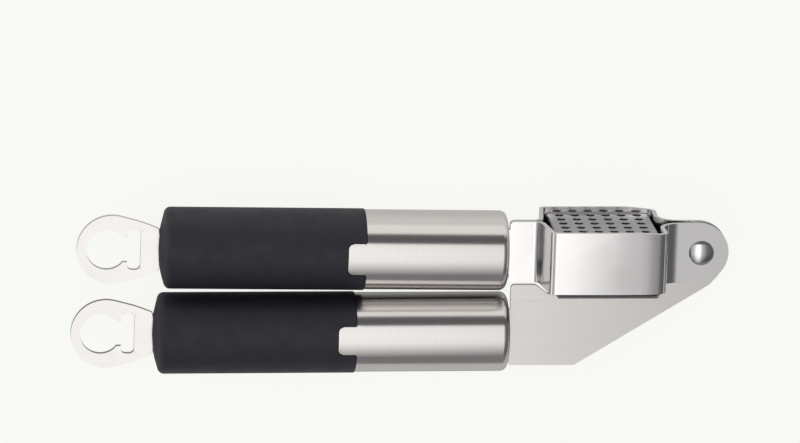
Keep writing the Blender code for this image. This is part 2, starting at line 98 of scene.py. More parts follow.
def arc(centre, radius, start, end):
    """Points along an arc, both ends included."""
    steps = max(2, math.ceil(abs(end - start) / ARC_STEP))
    angles = [start + (end - start) * step / steps for step in range(steps + 1)]
    return [(centre[0] + radius * math.cos(angle), centre[1] + radius * math.sin(angle))
            for angle in angles]


def ring(centre, radius):
    """Points round a full circle."""
    return arc(centre, radius, 0.0, FULL_TURN)[:-1]


def turns_of(corners, closed):
    """For each rounded corner (x, y, radius): its incoming heading, its turn and the length it takes up."""
    found = []
    for index, (x, y, radius) in enumerate(corners):
        if not closed and index in (0, len(corners) - 1):
            found.append((0.0, 0.0, 0.0))
            continue
        before = corners[index - 1]
        after = corners[(index + 1) % len(corners)]
        heading = math.atan2(y - before[1], x - before[0])
        turn = math.atan2(after[1] - y, after[0] - x) - heading
        turn = (turn + math.pi) % FULL_TURN - math.pi
        found.append((heading, turn, radius * math.tan(abs(turn) / 2.0)))
    return found


def outline(corners):
    """A closed outline through corners (x, y, radius), each rounded by its own radius."""
    points = []
    for (x, y, radius), (heading, turn, reach) in zip(corners, turns_of(corners, True)):
        if radius == 0.0:
            points.append((x, y))
            continue
        start = heading - math.copysign(math.pi / 2.0, turn)
        centre = (x - reach * math.cos(heading) - radius * math.cos(start),
                  y - reach * math.sin(heading) - radius * math.sin(start))
        points += arc(centre, radius, start, start + turn)
    return points


CUT_EDGE_ANGLE = 1.2
UPRIGHT = 0.5


def blank(loops, thickness, edge, at_joint=None):
    """A flat sheet cut to its outer and inner loops, with its edges rounded over on both sides.

    Where at_joint says that a cut face closes against another, the face is left out instead.
    """
    sheet = bmesh.new()
    for loop in loops:
        corners = [sheet.verts.new((x, y, -thickness / 2.0)) for x, y in loop]
        for first, second in zip(corners, corners[1:] + corners[:1]):
            sheet.edges.new((first, second))
    bmesh.ops.triangle_fill(sheet, use_beauty=True, edges=sheet.edges[:])
    grown = bmesh.ops.extrude_face_region(sheet, geom=sheet.faces[:], use_keep_orig=True)
    raised = [item for item in grown["geom"] if isinstance(item, bmesh.types.BMVert)]
    bmesh.ops.translate(sheet, verts=raised, vec=(0.0, 0.0, thickness))
    bmesh.ops.recalc_face_normals(sheet, faces=sheet.faces)
    sheet.normal_update()
    closing = [face for face in sheet.faces if at_joint and at_joint(face.calc_center_median())
               and abs(face.normal.z) < UPRIGHT]
    bmesh.ops.delete(sheet, geom=closing, context="FACES_ONLY")
    rims = [item for item in sheet.edges if item.is_manifold and item.calc_face_angle() > CUT_EDGE_ANGLE
            and abs(item.verts[0].co.z - item.verts[1].co.z) < thickness / 4.0]
    bmesh.ops.bevel(sheet, geom=rims, offset=edge, offset_type="OFFSET", segments=4, profile=0.5,
                    affect="EDGES", clamp_overlap=True, material=-1)
    return sheet


def path_steps(corners):
    """An open path through rounded corners, as straight and curved steps of (length, turn)."""
    turns = turns_of(corners, False)
    steps = []
    for index in range(len(corners) - 1):
        (x, y, _), (next_x, next_y, radius) = corners[index], corners[index + 1]
        _, turn, reach = turns[index + 1]
        steps.append((math.hypot(next_x - x, next_y - y) - turns[index][2] - reach, 0.0))
        if turn:
            steps.append((radius * abs(turn), turn))
    first, second = corners[0], corners[1]
    return (first[0], first[1], math.atan2(second[1] - first[1], second[0] - first[0])), steps


def along(start, steps, distance):
    """Place and heading at a distance along a path."""
    x, z, heading = start
    for index, (length, turn) in enumerate(steps):
        last = index == len(steps) - 1
        step = distance if last else min(distance, length)
        bend = turn / length if turn else 0.0
        if bend:
            x += (math.sin(heading + bend * step) - math.sin(heading)) / bend
            z += (math.cos(heading) - math.cos(heading + bend * step)) / bend
            heading += bend * step
        else:
            x += step * math.cos(heading)
            z += step * math.sin(heading)
        distance -= step
        if distance <= 0.0:
            break
    return x, z, heading


def creased(sheet, places, normal):
    """Cut a sheet across at each place along a direction, so that it can bend there."""
    for place in places:
        everything = sheet.verts[:] + sheet.edges[:] + sheet.faces[:]
        bmesh.ops.bisect_plane(sheet, geom=everything, dist=1e-7, plane_co=Vector(normal) * place,
                               plane_no=normal)


def bend_places(steps, bend_step):
    """Distances along a path where a sheet is creased: between its steps, and often along each curve."""
    places = []
    run = 0.0
    for length, turn in steps:
        parts = max(1, math.ceil(abs(turn) / bend_step))
        places += [run + length * part / parts for part in range(parts)]
        run += length
    return places[1:]


def bent(sheet, corners):
    """Bend a flat sheet along a path of rounded corners in X and Z."""
    start, steps = path_steps(corners)
    creased(sheet, bend_places(steps, ARC_STEP), (1.0, 0.0, 0.0))
    for vert in sheet.verts:
        x, z, heading = along(start, steps, vert.co.x)
        vert.co = (x - vert.co.z * math.sin(heading), vert.co.y, z + vert.co.z * math.cos(heading))
    return sheet


SHARP_ANGLE = math.radians(38)
FLAT_FACE_WEIGHT = 90


def made(name, shape, material, body, slot, *stands_for):
    """A finished piece: smooth where it's round, crisp where it's sharp, riding on its body."""
    mesh = bpy.data.meshes.new(name)
    shape.to_mesh(mesh)
    shape.free()
    mesh.shade_smooth()
    mesh.set_sharp_from_angle(angle=SHARP_ANGLE)
    mesh.materials.append(material)
    item = bpy.data.objects.new(name, mesh)
    bpy.context.scene.collection.objects.link(item)
    weighted = item.modifiers.new("Weighted Normal", "WEIGHTED_NORMAL")
    weighted.keep_sharp = True
    weighted.weight = FLAT_FACE_WEIGHT
    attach(item, body)
    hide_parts(*stands_for)
    return item


def finish_nodes(name, colour, metallic, roughness):
    """A material with its main shader's plain values set."""
    material = bpy.data.materials.new(name)
    material.use_nodes = True
    shader = material.node_tree.nodes["Principled BSDF"]
    shader.inputs["Base Color"].default_value = (*colour, 1.0)
    shader.inputs["Metallic"].default_value = metallic
    shader.inputs["Roughness"].default_value = roughness
    return material, material.node_tree, shader


def noise(tree, scale, detail=2.0, source="Object"):
    """Noise on the piece's own coordinates, with one scale or a scale for each axis."""
    place = tree.nodes.new("ShaderNodeTexCoord")
    mapping = tree.nodes.new("ShaderNodeMapping")
    mapping.inputs["Scale"].default_value = scale if isinstance(scale, tuple) else (scale, scale, scale)
    grain = tree.nodes.new("ShaderNodeTexNoise")
    grain.inputs["Scale"].default_value = 1.0
    grain.inputs["Detail"].default_value = detail
    tree.links.new(place.outputs[source], mapping.inputs["Vector"])
    tree.links.new(mapping.outputs["Vector"], grain.inputs["Vector"])
    return grain.outputs["Fac"]


NOISE_RANGE = (0.3, 0.7)


def roughened(tree, shader, value, low, high):
    """Roughness that wanders between two values with the noise."""
    ranged = tree.nodes.new("ShaderNodeMapRange")
    ranged.inputs["From Min"].default_value, ranged.inputs["From Max"].default_value = NOISE_RANGE
    ranged.inputs["To Min"].default_value = low
    ranged.inputs["To Max"].default_value = high
    tree.links.new(value, ranged.inputs["Value"])
    tree.links.new(ranged.outputs["Result"], shader.inputs["Roughness"])


def tinted(tree, shader, value, first, second):
    """A colour that wanders between two others with the noise."""
    mix = tree.nodes.new("ShaderNodeMix")
    mix.data_type = "RGBA"
    mix.inputs["A"].default_value = (*first, 1.0)
    mix.inputs["B"].default_value = (*second, 1.0)
    tree.links.new(value, mix.inputs["Factor"])
    tree.links.new(mix.outputs["Result"], shader.inputs["Base Color"])


def bump(tree, shader, value, strength, distance):
    """Relief from the noise on the shader's normal."""
    relief = tree.nodes.new("ShaderNodeBump")
    relief.inputs["Strength"].default_value = strength
    relief.inputs["Distance"].default_value = distance
    tree.links.new(value, relief.inputs["Height"])
    tree.links.new(relief.outputs["Normal"], shader.inputs["Normal"])


def polished_steel(name, low, high, colour, tint):
    """Buffed stainless steel: a mirror with a faint haze and wandering polish marks."""
    material, tree, shader = finish_nodes(name, colour, 1.0, low)
    roughened(tree, shader, noise(tree, (90.0, 140.0, 120.0), 3.0), low, high)
    tinted(tree, shader, noise(tree, 60.0), colour, tint)
    bump(tree, shader, noise(tree, (500.0, 700.0, 600.0), 3.0), 0.25, 0.000006)
    return material


strap_finish = polished_steel("polished_strap", 0.09, 0.15, (0.80, 0.79, 0.79), (0.76, 0.755, 0.76))


def strap(name, side):
    """One strap, bent from its blank. Side is 1 in front of the middle plane and -1 behind it."""
    low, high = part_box(name)
    wall_z = (high.z - hinge.z if side > 0 else hinge.z - low.z) - STRAP_THICKNESS / 2.0
    tang_x = low.x - hinge.x
    corners = [(tang_x, TANG_Z, 0.0), (-0.0467, TANG_Z, 0.0026), (-0.0449, wall_z - 0.0002, 0.0013),
               (-0.0235, wall_z, 0.15), (-0.0160, wall_z - 0.0003, 0.02),
               (-0.0121, wall_z - 0.0011, 0.0022), (-0.0126, EAR_Z, 0.0055), (EAR_END_X, EAR_Z, 0.0)]
    length = sum(step[0] for step in path_steps(corners)[1])
    to_hinge = length - EAR_END_X
    half = STRAP_HALF_WIDTH
    ear_x = to_hinge + EAR_CENTRE_X
    ear = arc((ear_x, 0.0), half, -math.pi / 2.0, 0.0)
    ear += arc((ear_x + half - EAR_TOP_RADIUS, 0.0), EAR_TOP_RADIUS, 0.0, math.pi / 2.0)[1:]
    neck = NECK_END_X - tang_x
    rise = half + HOPPER_RISE[name]
    wall_end = HOPPER_SPAN[0] - tang_x
    wall_start = to_hinge + HOPPER_SPAN[1] - wall_z
    far = outline([(ear[-1][0] - 0.001, EAR_TOP_RADIUS, 0.0),
                   (wall_start + 0.006, half - 0.0002, RIM_RADIUS), (wall_start, rise, RIM_RADIUS),
                   (wall_end + 0.010, rise, RIM_RADIUS), (wall_end + 0.002, half, RIM_RADIUS),
                   (neck, half, NECK_CORNER), (neck, TANG_HALF_WIDTH, 0.0),
                   (0.0, TANG_HALF_WIDTH, TANG_CORNER), (0.0, -TANG_HALF_WIDTH, TANG_CORNER),
                   (neck, -TANG_HALF_WIDTH, 0.0), (neck, -half, NECK_CORNER),
                   (ear[0][0] - 0.001, -half, 0.0)])
    hole = ring((to_hinge, 0.0), RIVET_HOLE_RADIUS)
    sheet = bent(blank([ear + far, hole], STRAP_THICKNESS, STRAP_EDGE), corners)
    if side < 0:
        bmesh.ops.scale(sheet, vec=(1.0, 1.0, -1.0), verts=sheet.verts)
        bmesh.ops.reverse_faces(sheet, faces=sheet.faces)
    bmesh.ops.translate(sheet, vec=hinge, verts=sheet.verts)
    made(name + "_bent", sheet, strap_finish, "upper_arm", "polished_strap", name)


strap("front_strap", 1.0)
strap("back_strap", -1.0)


# ---- Sieve cup ------------------------------------------------------------------------------
# One cup deep-drawn from stainless sheet, with round edges, six rows of punched holes across its
# top and a narrow flange at its mouth that catches under the straps. It hangs inside the hopper.

CUP_CORNER = 0.0018
CUP_ROUNDING = 0.0009
CUP_THICKNESS = 0.0008
HOLE_PITCH = 0.00455
HOLE_RADIUS = 0.0013
FLANGE_DROOP = 0.0006
HOLES_EACH_WAY = 6
DRAW_STEPS = 5
PUNCHED_EDGE = 0.00014

frame_low, frame_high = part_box("sieve_frame")
plate_low, plate_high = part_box("sieve_plate")
cup_middle = (plate_low + plate_high) / 2.0
cup_half_x = (plate_high.x - plate_low.x) / 2.0
cup_half_z = (plate_high.z - plate_low.z) / 2.0
flange_half_z = (frame_high.z - frame_low.z) / 2.0


def rectangle(half_x, half_z, corner):
    """A rounded rectangle round the cup's middle."""
    return outline([(half_x, -half_z, corner), (half_x, half_z, corner),
                    (-half_x, half_z, corner), (-half_x, -half_z, corner)])


cup_finish, tree, shader = finish_nodes("sieve_steel", (0.50, 0.49, 0.50), 1.0, 0.26)
roughened(tree, shader, noise(tree, 300.0, 4.0), 0.20, 0.34)
tinted(tree, shader, noise(tree, 180.0, 3.0), (0.43, 0.42, 0.43), (0.39, 0.383, 0.396))
bump(tree, shader, noise(tree, 2400.0), 0.3, 0.000008)

cup = bmesh.new()
now = (cup_half_x - CUP_ROUNDING, cup_half_z - CUP_ROUNDING)
loops = [rectangle(*now, CUP_CORNER - CUP_ROUNDING)]
first_hole = -HOLE_PITCH * (HOLES_EACH_WAY - 1) / 2.0
for column in range(HOLES_EACH_WAY):
    for row in range(HOLES_EACH_WAY):
        centre = (first_hole + column * HOLE_PITCH, first_hole + row * HOLE_PITCH)
        loops.append(ring(centre, HOLE_RADIUS)[::2])
for loop in loops:
    corners = [cup.verts.new((x, 0.0, z)) for x, z in loop]
    for pair in zip(corners, corners[1:] + corners[:1]):
        cup.edges.new(pair)
cup.edges.ensure_lookup_table()
rim = cup.edges[:len(loops[0])]
bmesh.ops.triangle_fill(cup, use_beauty=True, edges=cup.edges[:])
bmesh.ops.translate(cup, vec=(0.0, plate_high.y - cup_middle.y, 0.0), verts=cup.verts)


def drawn(edges, before, after, drop):
    """Draw the cup's rim down, and out from one half length and half width to another."""
    grown = bmesh.ops.extrude_edge_only(cup, edges=edges)["geom"]
    for vert in [item for item in grown if isinstance(item, bmesh.types.BMVert)]:
        vert.co.x += math.copysign(after[0] - before[0], vert.co.x)
        vert.co.z += math.copysign(after[1] - before[1], vert.co.z)
        vert.co.y -= drop
    return [item for item in grown if isinstance(item, bmesh.types.BMEdge)]


for step in range(1, DRAW_STEPS + 1):
    angle = math.pi / 2.0 * step / DRAW_STEPS
    before = math.pi / 2.0 * (step - 1) / DRAW_STEPS
    out = CUP_ROUNDING * (math.sin(angle) - math.sin(before))
    down = CUP_ROUNDING * (math.cos(before) - math.cos(angle))
    rim = drawn(rim, now, (now[0] + out, now[1] + out), down)
    now = (now[0] + out, now[1] + out)
wall_drop = plate_high.y - CUP_ROUNDING - frame_low.y - CUP_THICKNESS - FLANGE_DROOP / 2.0
rim = drawn(rim, now, now, wall_drop)
drawn(rim, now, (now[0], flange_half_z), FLANGE_DROOP)
bmesh.ops.recalc_face_normals(cup, faces=cup.faces)
if sum(face.normal.y * face.calc_area() for face in cup.faces) < 0.0:
    bmesh.ops.reverse_faces(cup, faces=cup.faces)
bmesh.ops.translate(cup, vec=cup_middle, verts=cup.verts)
cup_piece = made("sieve_cup", cup, cup_finish, "upper_arm", "sieve_steel", "sieve_frame", "sieve_plate")
wall = cup_piece.modifiers.new("Wall", "SOLIDIFY")
wall.thickness = CUP_THICKNESS
wall.offset = -1.0
punched = cup_piece.modifiers.new("Punched edges", "BEVEL")
punched.width = PUNCHED_EDGE
punched.segments = 2
punched.limit_method = "ANGLE"
punched.angle_limit = math.radians(50)
cup_piece.modifiers.move(0, 2)


# ---- Hinge rivet ----------------------------------------------------------------------------
# A solid stainless rivet with a polished domed head on each side, closed over the two ears and
# the lever's eye between them.

RIVET_SHANK_RADIUS = 0.0026
RIVET_DOME = 0.0010
HEAD_START = 0.0025
HEAD_RIM = 0.0001
DOME_STEPS = 10
TURNED_STEPS = 72


def domed_rivet(node, shank_radius, dome):
    """A rivet along Z with two spherical heads, turned from half its section, in a node's place."""
    low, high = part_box(node)
    half = (high.z - low.z) / 2.0
    head_radius = (high.x - low.x) / 2.0
    bulge = (head_radius ** 2 + dome ** 2) / (2.0 * dome)
    reach = math.asin(head_radius / bulge)
    angles = [reach * step / DOME_STEPS for step in range(DOME_STEPS + 1)]
    upper = [(half - bulge * (1.0 - math.cos(angle)), bulge * math.sin(angle)) for angle in angles]
    upper += [(HEAD_START + HEAD_RIM, head_radius), (HEAD_START, head_radius - HEAD_RIM),
              (HEAD_START, shank_radius)]
    lower = [(-height, radius) for height, radius in reversed(upper)]
    shape = bmesh.new()
    verts = [shape.verts.new((radius, 0.0, height)) for height, radius in upper + lower]
    for pair in zip(verts, verts[1:]):
        shape.edges.new(pair)
    bmesh.ops.spin(shape, geom=shape.verts[:] + shape.edges[:], cent=(0.0, 0.0, 0.0), axis=(0.0, 0.0, 1.0),
                   angle=FULL_TURN, steps=TURNED_STEPS, use_merge=True)
    bmesh.ops.remove_doubles(shape, verts=shape.verts, dist=1e-6)
    bmesh.ops.recalc_face_normals(shape, faces=shape.faces)
    bmesh.ops.translate(shape, vec=(low + high) / 2.0, verts=shape.verts)
    return shape


pin_finish = polished_steel("pin_steel", 0.12, 0.18, (0.80, 0.80, 0.81), (0.74, 0.74, 0.76))
made("hinge_rivet_domed", domed_rivet("hinge_rivet", RIVET_SHANK_RADIUS, RIVET_DOME), pin_finish,
     "upper_arm", "pin_steel", "hinge_rivet")


# ---- Lever plate ----------------------------------------------------------------------------
# A plate blanked from 1.4 mm stainless sheet with a satin finish. It runs from the lower handle
# to the eye between the two ears, and a tab on its upper edge carries the plunger.

LEVER_EDGE = 0.00022
LEVER_LEFT_X = -0.0550
LEVER_TOP_Y = -0.0100
LEVER_STEP_Y = -0.0128
LEVER_TANG_RISE = 0.0001
TAB_HALF_WIDTH = 0.0027
PIN_HOLE_RADIUS = 0.0018

lever_low, lever_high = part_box("lever_plate")
tube_low, tube_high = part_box("lower_handle_tube")
tang_y = (tube_low.y + tube_high.y) / 2.0 - hinge.y + LEVER_TANG_RISE
tang_high, tang_low = tang_y + TANG_HALF_WIDTH, tang_y - TANG_HALF_WIDTH
lever_left = lever_low.x - hinge.x
plate_low_y = lever_low.y - hinge.y
tab_left, tab_right = pivot.x - TAB_HALF_WIDTH, pivot.x + TAB_HALF_WIDTH
tab_top = pivot.y + TAB_HALF_WIDTH
lever_outline = outline([
    (LEVER_LEFT_X, LEVER_TOP_Y, 0.0012), (LEVER_LEFT_X, tang_high, 0.0),
    (lever_left, tang_high, TANG_CORNER), (lever_left, tang_low, TANG_CORNER),
    (LEVER_LEFT_X, tang_low, 0.0), (LEVER_LEFT_X, plate_low_y, 0.0008), (-0.0358, plate_low_y, 0.0015),
    (0.0030, -0.0100, 0.0040), (0.0058, -0.0068, 0.0040), (0.0069, -0.0030, 0.0030),
    (0.0069, 0.0084, 0.0074), (-0.0090, 0.0084, 0.0080), (-0.0090, LEVER_TOP_Y, 0.0015),
    (tab_right, LEVER_TOP_Y, 0.0010), (tab_right, tab_top, 0.0026), (tab_left, tab_top, 0.0026),
    (tab_left, LEVER_STEP_Y, 0.0010), (-0.0442, LEVER_STEP_Y, 0.0020), (-0.0478, LEVER_TOP_Y, 0.0020)])
lever = blank([lever_outline, ring((0.0, 0.0), RIVET_HOLE_RADIUS), ring(pivot.xy, PIN_HOLE_RADIUS)],
              lever_high.z - lever_low.z, LEVER_EDGE)
bmesh.ops.translate(lever, vec=hinge, verts=lever.verts)

lever_finish, tree, shader = finish_nodes("satin_lever", (0.72, 0.71, 0.70), 1.0, 0.32)
grain = noise(tree, (60.0, 2200.0, 300.0), 4.0)
roughened(tree, shader, grain, 0.28, 0.34)
tinted(tree, shader, grain, (0.71, 0.695, 0.68), (0.68, 0.665, 0.65))
bump(tree, shader, grain, 0.12, 0.000004)
made("lever_plate_satin", lever, lever_finish, "lever", "satin_lever", "lever_plate")


# ---- Plunger --------------------------------------------------------------------------------
# A stamped steel head that crushes the clove, a forked bracket under it, and the pin that both
# swing on, through the lever's tab.

HEAD_CORNER = 0.0016
HEAD_EDGE = 0.0005
LUG_THICKNESS = 0.0012
LUG_HALF_WIDTH = 0.0028
LUG_ROUNDING = 0.0024
LUG_EDGE = 0.0002
BASE_CORNER = 0.0001
BASE_EDGE = 0.00003
PIN_SHANK_RADIUS = 0.0015
PIN_DOME = 0.0006


def plunger_stamping(name, half_x, half_z, corner, thickness, edge, place, stands_for):
    """A flat rectangle of the plunger's steel, laid across the hopper."""
    plate = blank([rectangle(half_x, half_z, corner)], thickness, edge)
    bmesh.ops.rotate(plate, cent=(0.0, 0.0, 0.0), matrix=Matrix.Rotation(math.radians(-90), 3, "X"),
                     verts=plate.verts)
    bmesh.ops.translate(plate, vec=place, verts=plate.verts)
    made(name, plate, cup_finish, "plunger", "sieve_steel", stands_for)


head_low, head_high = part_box("plunger_head")
plunger_stamping("plunger_head_stamped", (head_high.x - head_low.x) / 2.0, (head_high.z - head_low.z) / 2.0,
                 HEAD_CORNER, head_high.y - head_low.y, HEAD_EDGE, (head_low + head_high) / 2.0,
                 "plunger_head")

bracket_low, bracket_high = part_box("plunger_bracket")
base_left, lug_low, _ = bracket_low - hinge
base_right, base_y, _ = bracket_high - hinge
lug_y = base_y - LUG_THICKNESS
lug_outline = outline([(base_right, base_y, 0.0), (base_left, base_y, 0.0), (base_left, lug_y, 0.0),
                       (pivot.x - LUG_HALF_WIDTH, lug_low, LUG_ROUNDING),
                       (pivot.x + LUG_HALF_WIDTH, lug_low, LUG_ROUNDING), (base_right, lug_y, 0.0)])
lug_half_z = (bracket_high.z - bracket_low.z) / 2.0
for name, side in (("plunger_lug_front", 1.0), ("plunger_lug_back", -1.0)):
    lug = blank([lug_outline, ring(pivot.xy, PIN_HOLE_RADIUS)], LUG_THICKNESS, LUG_EDGE)
    offset = hinge + Vector((0.0, 0.0, side * (lug_half_z - LUG_THICKNESS / 2.0)))
    bmesh.ops.translate(lug, vec=offset, verts=lug.verts)
    made(name, lug, cup_finish, "plunger", "sieve_steel", "plunger_bracket")

base_middle = Vector(((bracket_low.x + bracket_high.x) / 2.0, bracket_high.y - LUG_THICKNESS / 2.0, hinge.z))
plunger_stamping("plunger_bracket_base", (base_right - base_left) / 2.0, lug_half_z - LUG_THICKNESS,
                 BASE_CORNER, LUG_THICKNESS, BASE_EDGE, base_middle, "plunger_bracket")

made("plunger_pin_domed", domed_rivet("plunger_pin", PIN_SHANK_RADIUS, PIN_DOME), pin_finish,
     "plunger", "pin_steel", "plunger_pin")


# ---- Handle tubes ---------------------------------------------------------------------------
# Thin stainless tube, brushed round and round on a lathe. The hinge end is rolled in to a lip, and
# a tongue in front and one behind reach into the grip.

TUBE_WALL = 0.0008
TUBE_ROLL_RADIUS = 0.0020
TUBE_LIP_RADIUS = 0.0094
TUBE_CUT_EDGE = 0.00016
TONGUE_LENGTH = 0.0054
TONGUE_HALF_WIDTH = {"upper": 0.0046, "lower": 0.0041}
TONGUE_ROOT = 0.0008
TONGUE_TIP = 0.0017
ROUND_STEPS = 120
ROLL_STEP = math.radians(12)
JOINT_REACH = 0.999
HANDLE_ROLL = {"upper": math.radians(-1.2), "lower": math.radians(1.8)}
BODIES = {"upper": "upper_arm", "lower": "lever"}


def flat_uv(sheet):
    """Lay the piece's own map on the sheet while it's flat: metres along and across it."""
    layer = sheet.loops.layers.uv.new("sheet")
    for face in sheet.faces:
        for loop in face.loops:
            loop[layer].uv = loop.vert.co.xy


def middle(node):
    """The middle of a node's box."""
    low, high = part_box(node)
    return (low + high) / 2.0


def handle_place(side):
    """Where a handle's own axes go: X along it, from 0 at its hinge end, and Z to the front."""
    tube_middle = middle(side + "_handle_tube")
    direction = (tube_middle - middle(side + "_grip")).normalized()
    end = tube_middle + direction * (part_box(side + "_handle_tube")[1].x - tube_middle.x)
    tilt = math.atan2(direction.y, direction.x)
    return Matrix.Translation(end) @ Matrix.Rotation(tilt, 4, "Z")


def tongued_edge(side, seam, half_round, grow, middle_radius):
    """The flat outline of the edge with two tongues, from one joint of the tube to the other."""
    half = TONGUE_HALF_WIDTH[side] + grow
    tip = seam - TONGUE_LENGTH
    corners = []
    for centre in (math.pi * middle_radius, 0.0):
        corners += [(seam, centre + half, TONGUE_ROOT), (tip, centre + half, TONGUE_TIP),
                    (tip, centre - half, TONGUE_TIP), (seam, centre - half, TONGUE_ROOT)]
    return [(seam, 1.5 * half_round, 0.0), *corners, (seam, -0.5 * half_round, 0.0)]


def rolled(sheet, side, corners, middle_radius):
    """Roll a flat sheet into a handle's sleeve, whose wall follows a path of (along, radius)."""
    flat_uv(sheet)
    start, steps = path_steps(corners)
    creased(sheet, [start[0] + place for place in bend_places(steps, ROLL_STEP)], (1.0, 0.0, 0.0))
    half_round = math.pi * middle_radius
    creased(sheet, [-0.5 * half_round + 2.0 * half_round * step / ROUND_STEPS
                    for step in range(1, ROUND_STEPS)], (0.0, 1.0, 0.0))
    for vert in sheet.verts:
        x, radius, heading = along(start, steps, vert.co.x - start[0])
        radius = max(0.0, radius + vert.co.z * math.cos(heading))
        angle = vert.co.y / middle_radius + HANDLE_ROLL[side]
        x -= vert.co.z * math.sin(heading)
        vert.co = (x, radius * math.sin(angle), radius * math.cos(angle))
    bmesh.ops.remove_doubles(sheet, verts=sheet.verts, dist=2e-6)
    bmesh.ops.dissolve_degenerate(sheet, dist=1e-6, edges=sheet.edges)
    bmesh.ops.recalc_face_normals(sheet, faces=sheet.faces)
    sheet.transform(handle_place(side))
    return sheet


tube_finish, tree, shader = finish_nodes("brushed_tube", (0.66, 0.64, 0.62), 1.0, 0.28)
streaks = noise(tree, (2600.0, 30.0, 1.0), 3.0, "UV")
roughened(tree, shader, streaks, 0.21, 0.25)
tinted(tree, shader, streaks, (0.70, 0.68, 0.665), (0.67, 0.652, 0.637))
bump(tree, shader, noise(tree, (7000.0, 60.0, 1.0), 2.0, "UV"), 0.10, 0.000004)
tangent = tree.nodes.new("ShaderNodeTangent")
tangent.direction_type = "UV_MAP"
tangent.uv_map = "sheet"
tree.links.new(tangent.outputs["Tangent"], shader.inputs["Tangent"])
shader.inputs["Anisotropic"].default_value = 0.7

for side, body in BODIES.items():
    low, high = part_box(side + "_handle_tube")
    middle_radius = (high.z - low.z) / 2.0 - TUBE_WALL / 2.0
    length = high.x - low.x - TONGUE_LENGTH
    half_round = math.pi * middle_radius
    bend = TUBE_ROLL_RADIUS - TUBE_WALL / 2.0
    profile = [(-length - TONGUE_LENGTH, middle_radius, 0.0), (-TUBE_WALL / 2.0, middle_radius, bend),
               (-TUBE_WALL / 2.0, TUBE_LIP_RADIUS, 0.0)]
    developed = sum(step[0] for step in path_steps(profile)[1]) - length - TONGUE_LENGTH
    edge = outline([(developed, -0.5 * half_round, 0.0), (developed, 1.5 * half_round, 0.0),
                    *tongued_edge(side, -length, half_round, 0.0, middle_radius)])
    sheet = blank([edge], TUBE_WALL, TUBE_CUT_EDGE,
                  at_joint=lambda point: abs(point.y - half_round / 2.0) > half_round * JOINT_REACH)
    made(side + "_tube_brushed", rolled(sheet, side, profile, middle_radius), tube_finish, body,
         "brushed_tube", side + "_handle_tube")


# ---- Grips ----------------------------------------------------------------------------------
# A sleeve of matte black plastic over the handle's core, moulded with a softly domed end that the
# hanging loop goes through, and a notch for each of the tube's tongues.

GRIP_WALL = 0.0012
GRIP_ROUNDING = 0.0018
GRIP_DOME = 0.0020
GRIP_DOME_START = 0.0054
GRIP_DOME_RADIUS = 0.032
GRIP_CUT_EDGE = 0.0004
SEAM_GAP = 0.0002

grip_finish, tree, shader = finish_nodes("black_grip", (0.020, 0.019, 0.028), 0.0, 0.62)
mottle = noise(tree, 220.0, 4.0)
roughened(tree, shader, mottle, 0.56, 0.68)
tinted(tree, shader, mottle, (0.021, 0.020, 0.030), (0.018, 0.017, 0.026))
bump(tree, shader, noise(tree, 5200.0), 0.35, 0.00002)

for side, body in BODIES.items():
    low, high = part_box(side + "_grip")
    tube_low, tube_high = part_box(side + "_handle_tube")
    length = tube_high.x - tube_low.x - TONGUE_LENGTH
    middle_radius = (high.z - low.z) / 2.0 - GRIP_WALL / 2.0
    half_round = math.pi * middle_radius
    left = low.x - tube_high.x + GRIP_WALL / 2.0
    profile = [(left, 0.0, 0.0), (left, GRIP_DOME_START, GRIP_DOME_RADIUS),
               (left + GRIP_DOME, middle_radius, GRIP_ROUNDING - GRIP_WALL / 2.0),
               (-length, middle_radius, 0.0)]
    developed = sum(step[0] for step in path_steps(profile)[1])
    seam = left + developed - SEAM_GAP
    edge = outline([(left, 1.5 * half_round, 0.0), (left, -0.5 * half_round, 0.0),
                    *reversed(tongued_edge(side, seam, half_round, SEAM_GAP, middle_radius))])
    sheet = blank([edge], GRIP_WALL, GRIP_CUT_EDGE,
                  at_joint=lambda point: (abs(point.y - half_round / 2.0) > half_round * JOINT_REACH
                                          or point.x < left + 1e-6))
    made(side + "_grip_moulded", rolled(sheet, side, profile, middle_radius), grip_finish, body,
         "black_grip", side + "_grip")


# ---- Hanging loops --------------------------------------------------------------------------
# Stamped and polished 1.6 mm stainless loops with a keyhole eye. The tang goes in through the
# grip's end and is pinned inside.

LOOP_HEAD_RADIUS = 0.0101
LOOP_REACH = 0.0136
LOOP_NECK_HALF = 0.0062
LOOP_TANG_HALF = 0.0040
LOOP_EDGE = 0.0007
LOOP_SIDE = (0.0085, 0.0082)
LOOP_SIDE_RADIUS = 0.03
LOOP_SHOULDER = 0.0011
EYE_RADIUS = 0.0059
EYE_OFFSET = -0.0015
EYE_THROAT_HALF = 0.00365
EYE_CROSS = (0.0044, 0.0082)
EYE_CROSS_HALF = 0.0059
EYE_CROSS_CORNER = 0.0014

loop_finish = polished_steel("loop_steel", 0.14, 0.20, (0.67, 0.655, 0.65), (0.65, 0.635, 0.63))

